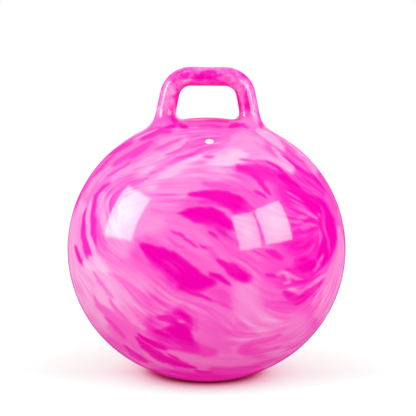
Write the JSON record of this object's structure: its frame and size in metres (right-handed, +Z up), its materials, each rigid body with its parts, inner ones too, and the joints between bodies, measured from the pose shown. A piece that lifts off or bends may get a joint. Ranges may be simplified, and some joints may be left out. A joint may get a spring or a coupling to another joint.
{
  "type": "hopper ball",
  "caption": "Inflated marbled vinyl hopper ball with a hollow loop handle moulded into its crown and a push-in air valve whose plug pulls out to pump it up.",
  "frame": {"origin": "centre of the flat patch of the ball that rests on the floor", "axes": "+Z up through the middle of the handle, handle loop in the XZ plane, valve towards -Y"},
  "size_m": [0.4572, 0.4571, 0.5137],
  "materials": {
    "marbled_vinyl": "glossy hot pink vinyl, marbled with paler and deeper pink",
    "valve_vinyl": "plain white vinyl, slightly satin"
  },
  "bodies": {
    "ball": {"ball_skin": "marbled_vinyl", "handle": "marbled_vinyl", "valve_seat": "valve_vinyl"},
    "plug": {"valve_plug": "valve_vinyl"}
  },
  "joints": [
    {"name": "plug_pull", "type": "slide", "parent": "ball", "child": "plug", "axis": [0, -0.5, 0.866], "range_m": [0, 0.05]}
  ]
}
